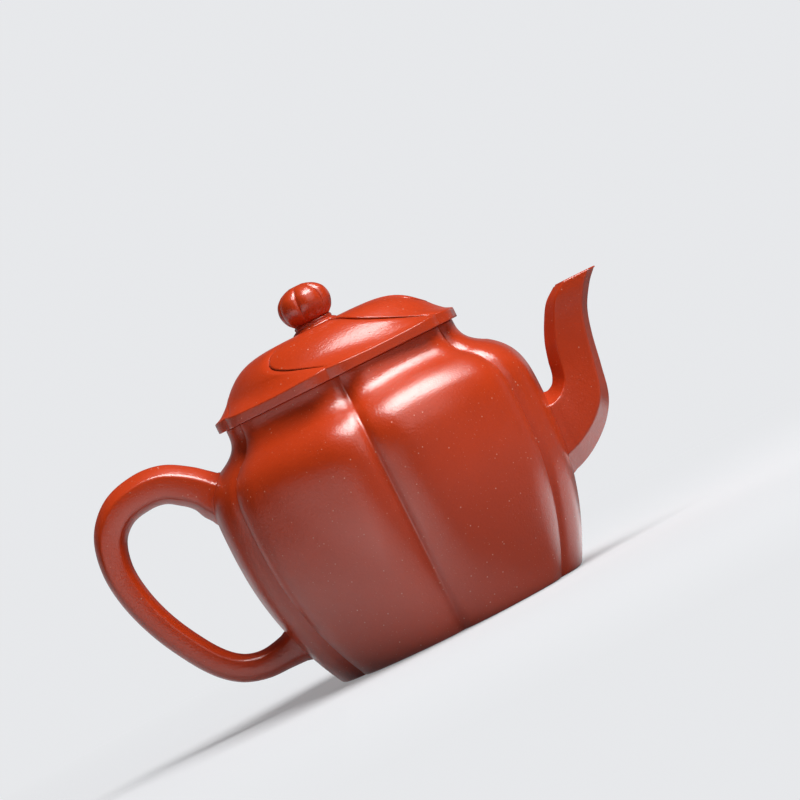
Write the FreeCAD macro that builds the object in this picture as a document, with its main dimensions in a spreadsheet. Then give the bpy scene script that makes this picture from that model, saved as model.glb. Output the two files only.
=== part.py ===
"""Six-lobed clay teapot with a whirled lid, in millimetres.

The pot stands on z = 0 with its axis on Z. The spout points along +X and the handle along -X.
Six lobes lie at 0, 60, ... 300 degrees about Z, with a drawn-in crease between each two.
"""

import FreeCAD
import Part
import math
import os
import Sketcher

LOBES = 6
LOBE_ANGLE = 360 / LOBES
HALF_LOBE = LOBE_ANGLE / 2

# Driving dimensions: alias, size in mm or degrees, meaning
SIZES = [
    ("base_face", 33.4, "axis to the middle of a lobe at the foot"),
    ("base_draw", 7.1, "how far the crease lies inside the sharp six-sided corner at the foot"),
    ("belly_face", 43.9, "axis to the middle of a lobe at the widest height"),
    ("belly_draw", 8.15, "crease draw at the widest height"),
    ("shoulder_face", 37.2, "axis to the middle of a lobe where the shoulder turns into the neck"),
    ("shoulder_draw", 7.55, "crease draw at the turn of the shoulder"),
    ("neck_face", 31.45, "axis to the middle of a lobe at the top of the neck"),
    ("neck_draw", 4.4, "crease draw at the top of the neck"),
    ("fold_angle", 55, "turn of a lobe's outline from its middle to the crease, on the body"),
    ("neck_fold", 40, "the same turn at the top of the neck and on the lid's rim"),
    ("face_share", 0.55, "share of a lobe's half width that its flatter middle arc takes"),
    ("belly_height", 42, "foot to the widest height"),
    ("shoulder_rise", 18.8, "widest height to the turn of the shoulder"),
    ("neck_rise", 8.3, "turn of the shoulder to the top of the neck"),
    ("base_thickness", 3, "base slab"),
    ("wall_thickness", 2.8, "wall slabs"),
    ("mouth_ring_thickness", 2.9, "mouth ring slab"),
    ("mouth_radius", 25.3, "round mouth"),
    ("spout_root_height", 32, "middle of the spout's root above the foot"),
    ("spout_reach", 19.85, "widest lobe to the middle of the spout's mouth"),
    ("spout_rise", 33.3, "middle of the root to the cut mouth"),
    ("spout_root_depth", 20.3, "spout's root, ridge to ridge"),
    ("spout_root_width", 15, "spout's root, side to side"),
    ("spout_mouth_depth", 11.3, "spout's mouth, ridge to ridge"),
    ("spout_mouth_width", 8.6, "spout's mouth, side to side"),
    ("spout_wall", 2, "spout wall"),
    ("spout_facet", 0.62, "share of the spout's depth that its flat side takes"),
    ("spout_hole_radius", 4.8, "hole through the wall slab behind the spout"),
    ("strainer_radius", 7.5, "strainer dome, outside, at the wall"),
    ("strainer_wall", 1.8, "strainer dome"),
    ("strainer_hole_radius", 1, "each hole of the strainer"),
    ("strainer_ring_radius", 3.4, "ring of holes about the strainer's middle hole"),
    ("handle_foot_height", 12.4, "middle of the handle's lower root above the foot"),
    ("handle_rise", 52.35, "lower root to the top of the handle's middle line"),
    ("handle_reach", 27.5, "widest lobe to the outermost point of the handle's middle line"),
    ("handle_top_depth", 9.75, "handle's thickness at its top, in the plane of its loop"),
    ("handle_top_width", 10, "handle's width at its top"),
    ("handle_tail_depth", 6.3, "handle's thickness at its lower end"),
    ("handle_tail_width", 6.8, "handle's width at its lower end"),
    ("handle_facet", 0.5, "share of the handle's depth that its flatter side takes"),
    ("handle_bulge", 1.5, "radius of a soft facet's curve, in half depths"),
    ("seat_gap", 0.15, "lid rim above the mouth ring"),
    ("fit_clearance", 0.3, "lid flange inside the mouth, on the radius"),
    ("rim_face", 33, "axis to the middle of a lobe of the lid's rim"),
    ("rim_draw", 4.2, "crease draw of the rim"),
    ("rim_top_draw", 2.1, "crease draw at the inner edge of the rim's sloping top"),
    ("rim_top_fold", 20, "turn of a lobe's outline there"),
    ("rim_band", 2.25, "upright edge of the rim"),
    ("rim_slope", 1, "height of the rim's sloping top"),
    ("rim_inset", 2.6, "width of the rim's sloping top"),
    ("flange_depth", 6.6, "flange below the rim"),
    ("flange_wall", 2.3, "flange"),
    ("dome_face", 30, "axis to the middle of a petal at the dome's foot"),
    ("dome_rise", 10.2, "dome above the rim"),
    ("dome_hollow_radius", 17.5, "roof of the hollow under the dome"),
    ("dome_wall", 3, "clay above the hollow"),
    ("petal_groove", 0.9, "depth of the creases between petals"),
    ("dome_corner", 2.7, "how far the petals' creases stand out beyond their middles at the dome's foot"),
    ("whirl", 35.5, "turn of the petals' creases from the rim to the top"),
    ("lid_turn", 3.6, "turn of the lid's lobes from the pot's as it sits on the mouth"),
    ("collar_foot", 6, "collar at its foot, middle of a lobe"),
    ("collar_top", 4.7, "collar under the knob, middle of a lobe"),
    ("collar_rise", 1.8, "collar height"),
    ("collar_groove", 0.3, "depth of the collar's creases"),
    ("knob_radius", 7, "knob at its widest, middle of a lobe"),
    ("knob_rise", 9.5, "knob height"),
    ("knob_groove", 0.45, "depth of the knob's creases"),
    ("knob_turn", 13, "turn of the knob's creases from the body's"),
    ("vent_radius", 1.2, "air vent through knob, collar and dome"),
]

# How quickly each stretch of the pot's profile bends, as a power
BELLY_BEND = 2.2
SHOULDER_BEND = 4
NECK_BEND = 3

# Heights at which the pot's outline is drawn: stretch of the profile, share of that stretch
BASE_TOP = "dims.base_thickness / dims.belly_height"
RING_FOOT = "1 - dims.mouth_ring_thickness / dims.neck_rise"
POT_STATIONS = [
    ("belly", "0"),
    ("belly", BASE_TOP),
    ("belly", "0.33"),
    ("belly", "0.67"),
    ("belly", "1"),
    ("shoulder", "0.5"),
    ("shoulder", "0.75"),
    ("shoulder", "0.9"),
    ("shoulder", "1"),
    ("neck", "0.15"),
    ("neck", "0.36"),
    ("neck", RING_FOOT),
    ("neck", "1"),
]
CHAMBER_STATIONS = range(1, len(POT_STATIONS) - 1)

# Spout, root to mouth: shares of its reach and rise, tilt of the section, swell towards the root size
SPOUT_STATIONS = [
    (-0.36, -0.02, 90, 1.03),
    (0.00, 0.000, 90, 1.00),
    (0.28, 0.095, 68, 0.67),
    (0.44, 0.226, 48, 0.46),
    (0.51, 0.410, 32, 0.25),
    (0.58, 0.600, 18, 0.10),
    (0.68, 0.765, 8, 0.03),
    (0.83, 0.908, 2, 0.08),
    (1.00, 1.000, 0, 0.00),
]

# Handle, upper root to lower root: shares of its reach and rise, tilt, swell towards the top size
HANDLE_STATIONS = [
    (-0.29, 0.720, -41, 1.90),
    (-0.09, 0.833, -42, 1.70),
    (0.09, 0.932, -50, 1.25),
    (0.28, 0.988, -72, 1.07),
    (0.49, 1.000, -90, 1.00),
    (0.74, 0.967, -118, 0.81),
    (0.92, 0.875, -148, 0.58),
    (1.00, 0.730, -176, 0.41),
    (0.97, 0.575, -192, 0.32),
    (0.87, 0.405, -202, 0.23),
    (0.72, 0.245, -210, 0.17),
    (0.55, 0.111, -219, 0.14),
    (0.38, 0.034, -238, 0.06),
    (0.18, 0.002, -262, 0.00),
    (-0.03, 0.000, -270, 0.10),
    (-0.32, 0.000, -270, 0.20),
]

# Shares of the dome's height, and of the knob's height and radius, at which they are drawn
DOME_STATIONS = [0, 0.18, 0.36, 0.53, 0.68, 0.8, 0.9, 0.965, 0.99]
DOME_FULLNESS = 0.19
CORNER_FADE = 4
KNOB_STATIONS = [(0, 0.68), (0.17, 0.89), (0.44, 1), (0.7, 0.92), (0.87, 0.7), (0.96, 0.45), (1, 0.26)]

doc = FreeCAD.newDocument("clay_teapot")


def fill_sheet():
    """The sheet of driving dimensions, one alias per size."""
    sheet = doc.addObject("Spreadsheet::Sheet", "dims")
    for row, (alias, size, meaning) in enumerate(SIZES, start=1):
        sheet.set(f"A{row}", meaning)
        sheet.set(f"B{row}", str(size))
        sheet.setAlias(f"B{row}", alias)
    doc.recompute()


def worked_out(name, rules):
    """A named set of values worked out from the sheet, each bound to its rule."""
    values = doc.addObject("App::VarSet", name)
    for key, rule in rules:
        values.addProperty("App::PropertyFloat", key)
        values.setExpression(key, rule)
    values.recompute()


def pot_rules(stretch, share):
    """Height, lobe radius, crease draw and fold of the pot's outline on one stretch of its profile."""
    def between(low, high, ease):
        return f"dims.{high} + (dims.{low} - dims.{high}) * ({ease})"

    if stretch == "belly":
        ease = f"(1 - ({share})) ^ {BELLY_BEND}"
        return {
            "height": f"dims.belly_height * ({share})",
            "face": between("base_face", "belly_face", ease),
            "draw": between("base_draw", "belly_draw", ease),
            "fold": "dims.fold_angle",
        }
    if stretch == "shoulder":
        ease = f"({share}) ^ {SHOULDER_BEND}"
        return {
            "height": f"dims.belly_height + dims.shoulder_rise * ({share})",
            "face": between("shoulder_face", "belly_face", ease),
            "draw": between("shoulder_draw", "belly_draw", ease),
            "fold": "dims.fold_angle",
        }
    ease = f"(1 - ({share})) ^ {NECK_BEND}"
    return {
        "height": f"dims.belly_height + dims.shoulder_rise + dims.neck_rise * ({share})",
        "face": between("shoulder_face", "neck_face", ease),
        "draw": between("shoulder_draw", "neck_draw", ease),
        "fold": between("fold_angle", "neck_fold", ease),
    }


def folded_outline(name, rules, turned="0"):
    """A six-lobed outline: each lobe a flatter arc between two tighter ones that fold into creases.

    A lobe turns through `mid` along half of its middle arc, and through `fold` up to the crease.
    """
    lobe = [
        ("height", rules["height"]),
        ("turned", turned),
        ("face", rules["face"]),
        ("crease", f"{name}.face / cos({HALF_LOBE}) - ({rules['draw']})"),
        ("half", f"{name}.crease * sin({HALF_LOBE})"),
        ("slope", f"({name}.face - {name}.crease * cos({HALF_LOBE})) / {name}.half"),
        ("fold", rules["fold"]),
        ("lean", f"tan({name}.fold / 2)"),
        ("linear", f"1 + {name}.slope * {name}.lean"),
        ("square", f"dims.face_share * {name}.lean"),
        ("rest", f"{name}.slope - (1 - dims.face_share) * {name}.lean"),
        ("root", f"sqrt({name}.linear ^ 2 - 4 * {name}.square * {name}.rest)"),
        ("turn", f"({name}.linear - {name}.root) / (2 * {name}.square)"),
        ("mid", f"2 * atan({name}.turn) / 1 deg"),
        ("join_across", f"dims.face_share * {name}.half"),
        ("join_out", f"{name}.face - {name}.join_across * {name}.turn"),
        ("face_arc", f"{name}.join_across / sin({name}.mid)"),
        ("end_arc", f"({name}.half - {name}.join_across) / (sin({name}.fold) - sin({name}.mid))"),
    ]
    worked_out(name, lobe)
    corners = []
    bends = []
    for lobe_number in range(LOBES):
        middle = f"({name}.turned + {lobe_number * LOBE_ANGLE})"
        start = f"({name}.turned + {lobe_number * LOBE_ANGLE - HALF_LOBE})"
        corners.append((f"{name}.crease * cos{start}", f"{name}.crease * sin{start}"))
        for side in "-+":
            across = f"{side} {name}.join_across"
            corners.append((
                f"{name}.join_out * cos{middle} - ({across}) * sin{middle}",
                f"{name}.join_out * sin{middle} + ({across}) * cos{middle}",
            ))
        bends += [f"{name}.end_arc", f"{name}.face_arc", f"{name}.end_arc"]
    return corners, bends


def petal_outline(name, face, crease, turn="0"):
    """A six-lobed outline with one arc per lobe, turned about the axis."""
    worked_out(name, [
        ("face", face),
        ("crease", crease),
        ("turn", turn),
        ("half", f"{name}.crease * sin({HALF_LOBE})"),
        ("bow", f"{name}.face - {name}.crease * cos({HALF_LOBE})"),
        ("arc", f"({name}.half ^ 2 + {name}.bow ^ 2) / (2 * {name}.bow)"),
    ])
    corners = []
    for lobe_number in range(LOBES):
        start = f"({name}.turn + {lobe_number * LOBE_ANGLE - HALF_LOBE})"
        corners.append((f"{name}.crease * cos{start}", f"{name}.crease * sin{start}"))
    return corners, [f"{name}.arc"] * LOBES


def faceted_outline(name, depth, width, facet, bulge=None):
    """A six-sided outline with ridges at both ends of its depth, its sides straight or gently bulged."""
    worked_out(name, [
        ("depth", f"({depth}) / 2"),
        ("width", f"({width}) / 2"),
        ("shoulder", f"({depth}) / 2 * ({facet})"),
    ])
    ridge, side, shoulder = f"{name}.depth", f"{name}.width", f"{name}.shoulder"
    corners = [
        (ridge, "0"),
        (shoulder, side),
        (f"-{shoulder}", side),
        (f"-{ridge}", "0"),
        (f"-{shoulder}", f"-{side}"),
        (shoulder, f"-{side}"),
    ]
    bend = f"({ridge} + {side}) / 2 * {bulge}" if bulge else None
    return corners, [bend] * LOBES


def origin_plane(body, role):
    return [feature for feature in body.Origin.OriginFeatures if feature.Role == role][0]


def draw_outline(body, name, outline, place, tilt=0, plane="XY_Plane"):
    """A closed outline of lines and outward arcs on one of the body's planes, its corners bound to rules.

    The place is along X and Z, and the tilt turns a level outline about Y.
    """
    corners, bends = outline
    sketch = body.newObject("Sketcher::SketchObject", name)
    sketch.AttachmentSupport = (origin_plane(body, plane), [""])
    sketch.MapMode = "FlatFace"
    sketch.AttachmentOffset = FreeCAD.Placement(
        FreeCAD.Vector(), FreeCAD.Rotation(FreeCAD.Vector(0, 1, 0), tilt)
    )
    for axis, rule in zip("xz" if plane == "XY_Plane" else "xy", place):
        sketch.setExpression(f"AttachmentOffset.Base.{axis}", rule)
    points = [
        FreeCAD.Vector(sketch.evalExpression(across), sketch.evalExpression(up), 0) for across, up in corners
    ]
    for number, bend in enumerate(bends):
        start = points[number]
        end = points[(number + 1) % len(points)]
        if bend is None:
            sketch.addGeometry(Part.LineSegment(start, end), False)
            continue
        radius = sketch.evalExpression(bend)
        chord = end - start
        inward = FreeCAD.Vector(-chord.y, chord.x, 0).normalize()
        centre = (start + end) / 2 + inward * math.sqrt(radius ** 2 - (chord.Length / 2) ** 2)
        first, last = (math.atan2(point.y - centre.y, point.x - centre.x) for point in (start, end))
        circle = Part.Circle(centre, FreeCAD.Vector(0, 0, 1), radius)
        sketch.addGeometry(Part.ArcOfCircle(circle, first, last), False)
    held = []
    for number, (across, up) in enumerate(corners):
        held.append((Sketcher.Constraint("DistanceX", -1, 1, number, 1, points[number].x), across))
        held.append((Sketcher.Constraint("DistanceY", -1, 1, number, 1, points[number].y), up))
        if bends[number] is not None:
            radius = sketch.evalExpression(bends[number])
            held.append((Sketcher.Constraint("Radius", number, radius), bends[number]))
    first_held = len(corners)
    joined = [
        Sketcher.Constraint("Coincident", number, 2, (number + 1) % len(corners), 1)
        for number in range(len(corners))
    ]
    sketch.addConstraint(joined + [constraint for constraint, rule in held])
    for index, (constraint, rule) in enumerate(held, start=first_held):
        sketch.setExpression(f"Constraints[{index}]", rule)
    return sketch


def loft(body, sketches, ruled=False, feature="PartDesign::AdditiveLoft"):
    solid = body.newObject(feature, f"{body.Name}_{feature.split('::')[1]}")
    solid.Profile = sketches[0]
    solid.Sections = sketches[1:]
    solid.Ruled = ruled
    body.Tip = solid
    return solid


def new_body(name):
    return doc.addObject("PartDesign::Body", name)


def primitive(kind, name, place=None, turn=None, **rules):
    """A plain solid with its sizes and its place bound to the sheet."""
    solid = doc.addObject(f"Part::{kind}", name)
    for key, rule in rules.items():
        solid.setExpression(key, rule)
    if turn:
        solid.Placement.Rotation = turn
    for axis, rule in (place or {}).items():
        solid.setExpression(f"Placement.Base.{axis}", rule)
    return solid


def combined(kind, name, base, tool):
    """A boolean of two solids: Cut or Common."""
    result = doc.addObject(f"Part::{kind}", name)
    result.Base = base
    result.Tool = tool
    return result


fill_sheet()

NECK_TOP = "(dims.belly_height + dims.shoulder_rise + dims.neck_rise)"
WALL_TOP = f"({NECK_TOP} - dims.mouth_ring_thickness)"
LID_FOOT = f"({NECK_TOP} + dims.seat_gap)"
RIM_TOP = f"({LID_FOOT} + dims.rim_band + dims.rim_slope)"
DOME_TOP = f"({RIM_TOP} + dims.dome_rise * {DOME_STATIONS[-1]})"
COLLAR_TOP = f"({DOME_TOP} + dims.collar_rise)"
FLANGE_RADIUS = "(dims.mouth_radius - dims.fit_clearance)"
FLANGE_BORE = f"({FLANGE_RADIUS} - dims.flange_wall)"
SKIRT_IN_WALLS = 1.1
BEYOND = "dims.belly_face * 2"
ALONG_X = FreeCAD.Rotation(FreeCAD.Vector(0, 1, 0), 90)


def pot_form():
    """The pot's whole outside, foot to neck, as one solid that the pieces are cut from."""
    body = new_body("pot_form")
    sketches = []
    for number, (stretch, share) in enumerate(POT_STATIONS):
        name = f"pot_outline_{number}"
        outline = folded_outline(name, pot_rules(stretch, share))
        sketches.append(draw_outline(body, f"pot_sketch_{number}", outline, ("0", f"{name}.height")))
    loft(body, sketches)
    return body


def tea_chamber():
    """The hollow of the pot, one wall thickness inside the form."""
    body = new_body("tea_chamber")
    sketches = []
    for number in CHAMBER_STATIONS:
        outside = f"pot_outline_{number}"
        name = f"chamber_outline_{number}"
        inside = f"({outside}.face - dims.wall_thickness)"
        outline = folded_outline(name, {
            "height": f"{outside}.height",
            "face": inside,
            "draw": f"{inside} / cos({HALF_LOBE}) - {outside}.crease + dims.wall_thickness",
            "fold": f"{outside}.fold",
        })
        sketches.append(draw_outline(body, f"chamber_sketch_{number}", outline, ("0", f"{outside}.height")))
    loft(body, sketches)
    return body


def base_plate(form):
    slab = primitive("Cylinder", "base_slab", Radius=BEYOND, Height="dims.base_thickness")
    return combined("Common", "base_plate", form, slab)


def wall_panels(form, chamber, spout_hole):
    """Six wall slabs, mitred at the creases, the first pierced behind the spout."""
    shell = combined("Cut", "pot_shell", form, chamber)
    panels = []
    for number in range(1, LOBES + 1):
        middle = (number - 1) * LOBE_ANGLE
        sector = primitive(
            "Cylinder", f"wall_sector_{number}", place={"z": "dims.base_thickness"},
            turn=FreeCAD.Rotation(FreeCAD.Vector(0, 0, 1), middle - HALF_LOBE),
            Radius=BEYOND, Height=f"{WALL_TOP} - dims.base_thickness",
        )
        sector.Angle = LOBE_ANGLE
        pierced = number == 1
        name = f"wall_panel_{number}"
        slab = combined("Common", f"wall_slab_{number}" if pierced else name, shell, sector)
        panels.append(combined("Cut", name, slab, spout_hole) if pierced else slab)
    return panels


def mouth_ring(form):
    slab = primitive(
        "Cylinder", "mouth_slab", place={"z": WALL_TOP}, Radius=BEYOND, Height="dims.mouth_ring_thickness"
    )
    bore = primitive("Cylinder", "mouth_bore", Radius="dims.mouth_radius", Height=f"{NECK_TOP} * 2")
    return combined("Cut", "mouth_ring", combined("Common", "mouth_disc", form, slab), bore)


def spout_outlines(body, prefix, inset):
    sketches = []
    for number, (reach, rise, tilt, swell) in enumerate(SPOUT_STATIONS):
        def sized(side):
            mouth = f"dims.spout_mouth_{side}"
            return f"{mouth} + (dims.spout_root_{side} - {mouth}) * {swell} - 2 * ({inset})"

        outline = faceted_outline(
            f"{prefix}_outline_{number}", sized("depth"), sized("width"), "dims.spout_facet"
        )
        place = (
            f"dims.belly_face + dims.spout_reach * {reach}",
            f"dims.spout_root_height + dims.spout_rise * {rise}",
        )
        sketches.append(draw_outline(body, f"{prefix}_sketch_{number}", outline, place, tilt))
    return sketches


def spout(form):
    """Six-sided tube with its root trimmed to the pot's outside."""
    body = new_body("spout_tube")
    loft(body, spout_outlines(body, "spout", "0"))
    loft(body, spout_outlines(body, "bore", "dims.spout_wall"), feature="PartDesign::SubtractiveLoft")
    return combined("Cut", "spout", body, form)


def dome_profile(name, radius, skirt):
    """Half of a domed plug seen from the side, dome to the left of its middle and skirt to the right."""
    worked_out(name, [("radius", radius), ("skirt", skirt)])
    corners = [
        (f"-{name}.radius", "0"),
        (f"{name}.skirt", "0"),
        (f"{name}.skirt", f"{name}.radius"),
        ("0", f"{name}.radius"),
    ]
    return corners, [None, None, None, f"{name}.radius"]


def spout_strainer(panel):
    """Pierced dome seated on the inside of the first wall panel, round the hole behind the spout."""
    body = new_body("strainer_dome")
    skirt = f"dims.wall_thickness * {SKIRT_IN_WALLS}"
    inner = "dims.strainer_radius - dims.strainer_wall"
    place = ("dims.belly_face - dims.wall_thickness * 2", "dims.spout_root_height")
    shapes = [
        ("strainer_outside", "dims.strainer_radius", skirt, "PartDesign::Revolution"),
        ("strainer_inside", inner, f"{skirt} * 2", "PartDesign::Groove"),
    ]
    for name, radius, length, feature in shapes:
        sketch = draw_outline(
            body, f"{name}_sketch", dome_profile(name, radius, length), place, plane="XZ_Plane"
        )
        turned = body.newObject(feature, f"{name}_turned")
        turned.Profile = sketch
        turned.ReferenceAxis = (sketch, ["H_Axis"])
        turned.Angle = 360
        body.Tip = turned
    holes = []
    for number in range(LOBES + 1):
        angle = number * LOBE_ANGLE
        ring = "0" if number == LOBES else "dims.strainer_ring_radius"
        holes.append(primitive(
            "Cylinder", f"strainer_hole_{number}",
            {"y": f"{ring} * cos({angle})", "z": f"dims.spout_root_height + {ring} * sin({angle})"},
            ALONG_X, Radius="dims.strainer_hole_radius", Height=place[0],
        ))
    pierced = doc.addObject("Part::MultiFuse", "strainer_holes")
    pierced.Shapes = holes
    return combined("Cut", "spout_strainer", combined("Cut", "strainer_blank", body, pierced), panel)


def handle(form):
    """Ear-shaped loop of soft six-sided section, both roots trimmed to the pot's outside."""
    body = new_body("handle_loop")
    sketches = []
    for number, (reach, rise, tilt, swell) in enumerate(HANDLE_STATIONS):
        def sized(side):
            tail = f"dims.handle_tail_{side}"
            return f"{tail} + (dims.handle_top_{side} - {tail}) * {swell}"

        outline = faceted_outline(
            f"handle_outline_{number}", sized("depth"), sized("width"),
            "dims.handle_facet", "dims.handle_bulge",
        )
        place = (
            f"-(dims.belly_face + dims.handle_reach * ({reach}))",
            f"dims.handle_foot_height + dims.handle_rise * {rise}",
        )
        sketches.append(draw_outline(body, f"handle_sketch_{number}", outline, place, tilt))
    loft(body, sketches)
    return combined("Cut", "handle", body, form)


def lid_rim(bore):
    """Hexafoil band with a sloping top."""
    body = new_body("rim_disc")
    levels = [
        (LID_FOOT, "dims.rim_face", "dims.rim_draw", "dims.neck_fold"),
        (f"{LID_FOOT} + dims.rim_band", "dims.rim_face", "dims.rim_draw", "dims.neck_fold"),
        (RIM_TOP, "dims.rim_face - dims.rim_inset", "dims.rim_top_draw", "dims.rim_top_fold"),
    ]
    sketches = []
    for number, (height, face, draw, fold) in enumerate(levels):
        name = f"rim_outline_{number}"
        rules = {"height": height, "face": face, "draw": draw, "fold": fold}
        outline = folded_outline(name, rules, "-dims.lid_turn")
        sketches.append(draw_outline(body, f"rim_sketch_{number}", outline, ("0", f"{name}.height")))
    loft(body, sketches, ruled=True)
    return combined("Cut", "lid_rim", body, bore)


def lid_dome(vent):
    """Six petals whose creases whirl from the rim to the top, hollow below."""
    body = new_body("dome_petals")
    sketches = []
    for number, share in enumerate(DOME_STATIONS):
        name = f"dome_outline_{number}"
        face = f"dims.dome_face * (1 - {share}) ^ {DOME_FULLNESS}"
        cornered = f"(1 - {share}) ^ {CORNER_FADE}"
        crease = f"{name}.face + dims.dome_corner * {cornered} - dims.petal_groove * (1 - {cornered})"
        outline = petal_outline(name, face, crease, f"-dims.lid_turn - dims.whirl * sin({90 * share})")
        height = f"{RIM_TOP} + dims.dome_rise * {share}"
        sketches.append(draw_outline(body, f"dome_sketch_{number}", outline, ("0", height)))
    loft(body, sketches)
    hollow = primitive(
        "Cone", "dome_hollow", place={"z": RIM_TOP}, Radius1=FLANGE_BORE, Radius2="dims.dome_hollow_radius",
        Height=f"{DOME_TOP} - {RIM_TOP} - dims.dome_wall",
    )
    return combined("Cut", "lid_dome", combined("Cut", "dome_shell", body, hollow), vent)


def lid_flange(bore):
    ring = primitive(
        "Cylinder", "flange_disc", place={"z": f"{LID_FOOT} - dims.flange_depth"},
        Radius=FLANGE_RADIUS, Height="dims.flange_depth",
    )
    return combined("Cut", "lid_flange", ring, bore)


def knob_collar(vent):
    body = new_body("collar_blank")
    sketches = []
    levels = [(DOME_TOP, "dims.collar_foot"), (COLLAR_TOP, "dims.collar_top")]
    for number, (height, face) in enumerate(levels):
        name = f"collar_outline_{number}"
        outline = petal_outline(name, face, f"{name}.face - dims.collar_groove", "-dims.knob_turn")
        sketches.append(draw_outline(body, f"collar_sketch_{number}", outline, ("0", height)))
    loft(body, sketches, ruled=True)
    return combined("Cut", "knob_collar", body, vent)


def knob(vent):
    """Six-lobed round knob."""
    body = new_body("knob_blank")
    sketches = []
    for number, (height, width) in enumerate(KNOB_STATIONS):
        name = f"knob_outline_{number}"
        outline = petal_outline(
            name, f"dims.knob_radius * {width}", f"{name}.face - dims.knob_groove", "-dims.knob_turn"
        )
        place = ("0", f"{COLLAR_TOP} + dims.knob_rise * {height}")
        sketches.append(draw_outline(body, f"knob_sketch_{number}", outline, place))
    loft(body, sketches)
    return combined("Cut", "knob", body, vent)


def build():
    form = pot_form()
    chamber = tea_chamber()
    spout_hole = primitive(
        "Cylinder", "spout_hole", {"z": "dims.spout_root_height"}, ALONG_X,
        Radius="dims.spout_hole_radius", Height=BEYOND,
    )
    lid_bore = primitive("Cylinder", "lid_bore", Radius=FLANGE_BORE, Height=f"{RIM_TOP} * 2")
    vent = primitive(
        "Cylinder", "vent", Radius="dims.vent_radius", Height=f"{COLLAR_TOP} + dims.knob_rise * 2"
    )
    panels = wall_panels(form, chamber, spout_hole)
    return [
        base_plate(form),
        *panels,
        mouth_ring(form),
        spout(form),
        spout_strainer(panels[0]),
        handle(form),
        lid_rim(lid_bore),
        lid_dome(vent),
        lid_flange(lid_bore),
        knob_collar(vent),
        knob(vent),
    ]


def checked(pieces):
    """Stops on any failed object, and on a piece that isn't one sound solid."""
    doc.recompute()
    failed = [item.Name for item in doc.Objects if {"Invalid", "Error"} & set(item.State)]
    if failed:
        raise RuntimeError(f"failed objects: {failed}")
    for piece in pieces:
        shape = piece.Shape
        if shape.isNull() or not shape.isValid() or len(shape.Solids) != 1:
            raise RuntimeError(f"{piece.Label}: {len(shape.Solids)} solids, valid {shape.isValid()}")
    return pieces


def write_steps(pieces):
    os.makedirs("parts", exist_ok=True)
    for piece in pieces:
        piece.Shape.exportStep(f"parts/{piece.Label}.step")
        box = piece.Shape.optimalBoundingBox()
        low = f"{box.XMin:.2f} {box.YMin:.2f} {box.ZMin:.2f}"
        high = f"{box.XMax:.2f} {box.YMax:.2f} {box.ZMax:.2f}"
        print(f"{piece.Label}: {piece.Shape.Volume:.1f} mm3, from {low} to {high}")


write_steps(checked(build()))
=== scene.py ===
"""Looks of a six-lobed red clay teapot with a whirled lid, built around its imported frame.

Sizes are in millimetres, as in the part, and become metres when a vertex is placed.
"""

import math

import bmesh
import bpy
from mathutils import Matrix, Vector, noise


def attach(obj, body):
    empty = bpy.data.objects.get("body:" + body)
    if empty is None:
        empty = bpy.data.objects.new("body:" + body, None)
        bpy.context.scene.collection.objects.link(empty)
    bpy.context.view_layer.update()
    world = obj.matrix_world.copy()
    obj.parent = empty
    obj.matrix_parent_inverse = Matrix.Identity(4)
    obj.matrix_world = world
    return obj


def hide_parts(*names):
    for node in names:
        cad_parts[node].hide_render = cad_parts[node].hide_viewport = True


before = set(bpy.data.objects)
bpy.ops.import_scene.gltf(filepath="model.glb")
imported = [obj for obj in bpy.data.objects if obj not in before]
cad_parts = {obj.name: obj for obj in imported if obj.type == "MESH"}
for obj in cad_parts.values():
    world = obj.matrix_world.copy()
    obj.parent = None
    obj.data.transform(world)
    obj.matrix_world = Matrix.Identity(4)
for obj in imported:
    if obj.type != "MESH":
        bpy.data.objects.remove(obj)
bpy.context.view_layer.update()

MM = 0.001
LOBES = 6
LOBE_TURN = math.radians(60)
HALF_LOBE = math.radians(30)

# Pot: heights of its stretches, and lobe radius, crease draw and fold at their ends
BELLY_Z = 42
TURN_Z = 60.8
NECK_Z = 69.1
FOOT_FORM = (33.4, 7.1, 55)
BELLY_FORM = (43.9, 8.15, 55)
TURN_FORM = (37.2, 7.55, 55)
NECK_FORM = (31.45, 4.4, 53)
BASE_TOP = 3
FOOT_ROUND = 0.5
WALL_TOP = 66.2
WALL = 2.8
MOUTH_RADIUS = 25.3
FACE_SHARE = 0.55
CREASE_ROUND = 0.4
PINCH = 0.9
PINCH_WIDTH = 2.6
HAND_WAVE = 0.11

# Lid
LID_FOOT = 69.25
SEAT_Z = 69.2
RIM_TOP = 72.5
RIM_FACE = 32.6
RIM_DRAW = 4.0
RIM_FOLD = 50
RIM_ROUND = 0.25
BAND_TOP = 71.6
BAND_LIFT = 0.6
FLANGE_RADIUS = 25
FLANGE_BORE = 22.7
FLANGE_FOOT = 62.65
DOME_FACE = 29.7
DOME_RISE = 10.2
DOME_POWER = 1 / 0.19
FOOT_JOIN = 76.0
CORNER_REACH = 2.9
ROOF_Z = 79.6
ROOF_RADIUS = 17.5
LID_TURN = math.radians(3.6)
WHIRL = math.radians(35.5)
CREASE_LEANS = (-1.5, 13, 8, 3, 2.5, 5)
PETAL_LEFT = (1.3, 0.6)
PETAL_RIGHT = (3.2, 0.7)
SLIT_WIDTH = 0.24
SLIT_DEPTH = 0.35
EDGE_BEND = 0.97
KNOB_TURN = math.radians(13)
COLLAR_FOOT = 82.6
COLLAR_TOP = 84.4
KNOB_TOP = 93.89
KNOB_RADIUS = 6.95
VENT_RADIUS = 1.2

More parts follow.
